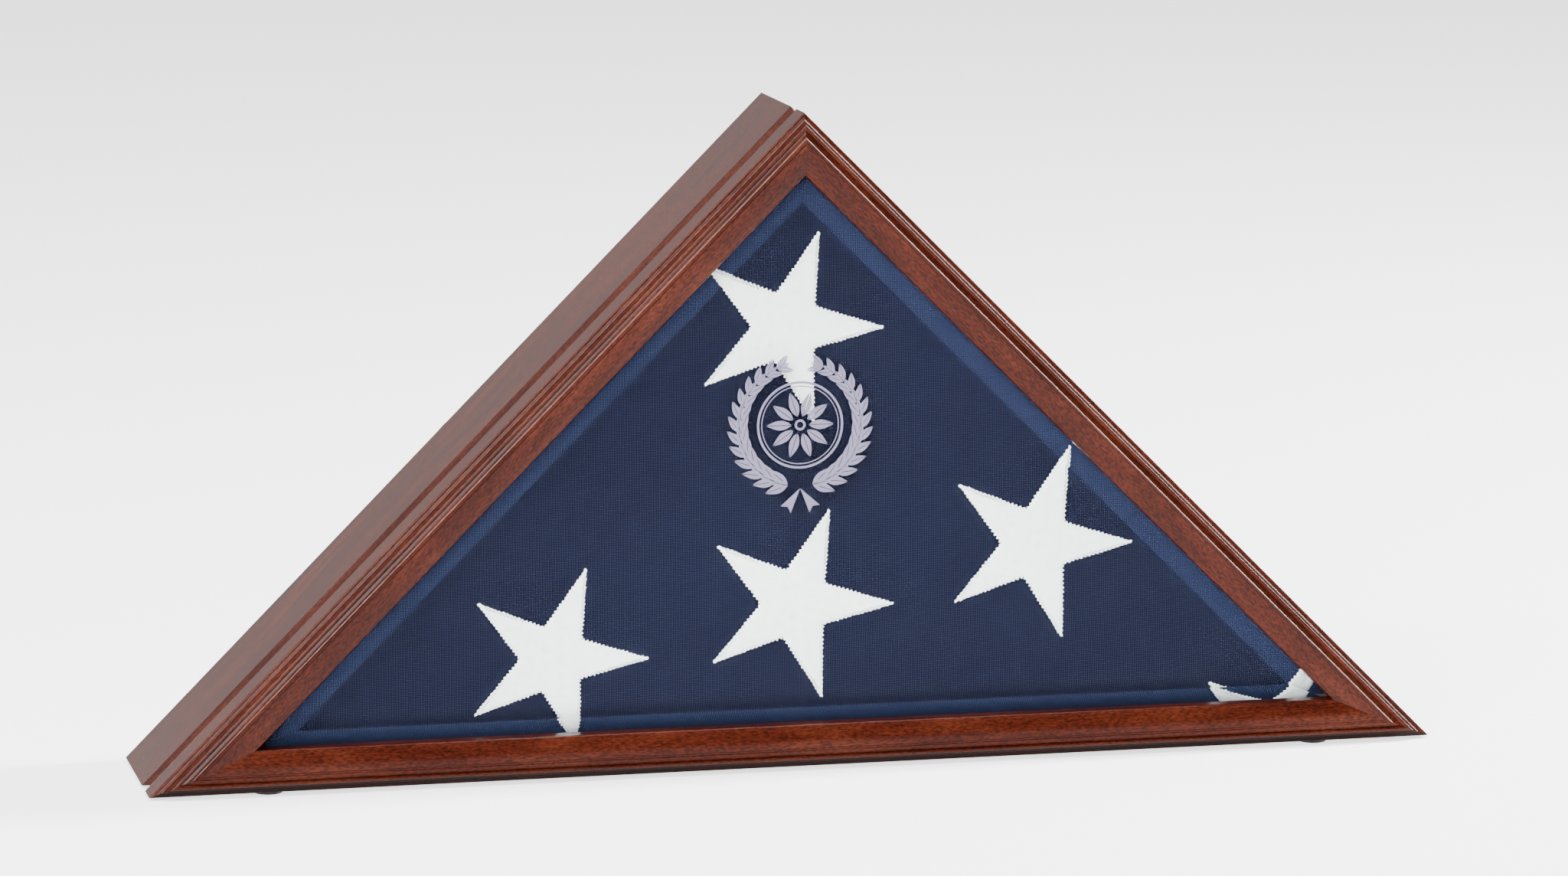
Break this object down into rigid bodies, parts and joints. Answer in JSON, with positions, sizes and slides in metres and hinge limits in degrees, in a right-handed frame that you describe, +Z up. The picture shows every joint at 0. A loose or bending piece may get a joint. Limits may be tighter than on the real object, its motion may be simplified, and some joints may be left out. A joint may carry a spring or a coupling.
{
  "type": "folded flag display case",
  "caption": "Triangular glazed hardwood case that shows a flag folded in the regulation triangle, with a bevelled pane and a removable back held by turn buttons.",
  "frame": {"origin": "under the middle of the case, on the surface that it stands on, at the centre of its bounding box", "axes": "+X to the right seen from the front, +Y from the pane to the back panel, +Z up"},
  "size_m": [0.66, 0.107, 0.3315],
  "materials": {
    "lacquered_wood": "cherry stained hardwood, satin lacquer",
    "bare_wood": "unfinished hardwood",
    "panel_board": "veneered fibreboard, dark stain",
    "glass": "clear polished, bevelled edge, etched wreath",
    "brass": "polished, lacquered",
    "steel": "bright",
    "zinc_steel": "zinc plated",
    "felt": "black wool felt",
    "flag_cotton": "navy cotton bunting with embroidered white stars"
  },
  "bodies": {
    "case": {"frame_rail_bottom": "lacquered_wood", "frame_rail_left": "lacquered_wood", "frame_rail_right": "lacquered_wood", "box_board_bottom": "lacquered_wood", "box_board_left": "lacquered_wood", "box_board_right": "lacquered_wood", "glass_stop_bottom": "bare_wood", "glass_stop_left": "bare_wood", "glass_stop_right": "bare_wood", "corner_spline_top": "bare_wood", "corner_spline_left": "bare_wood", "corner_spline_right": "bare_wood", "frame_dowels": "bare_wood", "glass_pane": "glass", "frame_corner_nails": "steel", "stop_pins": "steel", "button_screws": "brass", "foot_pad_front_left": "felt", "foot_pad_front_right": "felt", "foot_pad_rear_left": "felt", "foot_pad_rear_right": "felt"},
    "back_panel": {"back_panel": "panel_board", "felt_lining": "felt", "hanger_plate_left": "zinc_steel", "hanger_plate_right": "zinc_steel", "hanger_screws": "zinc_steel"},
    "folded_flag": {"folded_flag": "flag_cotton"},
    "turn_button_bottom_left": {"turn_button_bottom_left": "brass"},
    "turn_button_bottom_right": {"turn_button_bottom_right": "brass"},
    "turn_button_left": {"turn_button_left": "brass"},
    "turn_button_right": {"turn_button_right": "brass"}
  },
  "joints": [
    {"name": "back_panel_lift_out", "type": "slide", "parent": "case", "child": "back_panel", "axis": [0, 1, 0], "range_m": [0, 0.2]},
    {"name": "flag_lift_out", "type": "slide", "parent": "case", "child": "folded_flag", "axis": [0, 1, 0], "range_m": [0, 0.1]},
    {"name": "turn_button_bottom_left_pivot", "type": "hinge", "parent": "case", "child": "turn_button_bottom_left", "pos_m": [-0.165, 0.05, 0.0055], "axis": [0, 1, 0], "range_deg": [-90, 0]},
    {"name": "turn_button_bottom_right_pivot", "type": "hinge", "parent": "case", "child": "turn_button_bottom_right", "pos_m": [0.165, 0.05, 0.0055], "axis": [0, 1, 0], "range_deg": [-90, 0]},
    {"name": "turn_button_left_pivot", "type": "hinge", "parent": "case", "child": "turn_button_left", "pos_m": [-0.16217, 0.05, 0.16367], "axis": [0, 1, 0], "range_deg": [-90, 0]},
    {"name": "turn_button_right_pivot", "type": "hinge", "parent": "case", "child": "turn_button_right", "pos_m": [0.16217, 0.05, 0.16367], "axis": [0, 1, 0], "range_deg": [-90, 0]}
  ],
  "couplings": [
    {"joint": "flag_lift_out", "follows": "back_panel_lift_out", "ratio": 0.5}
  ]
}
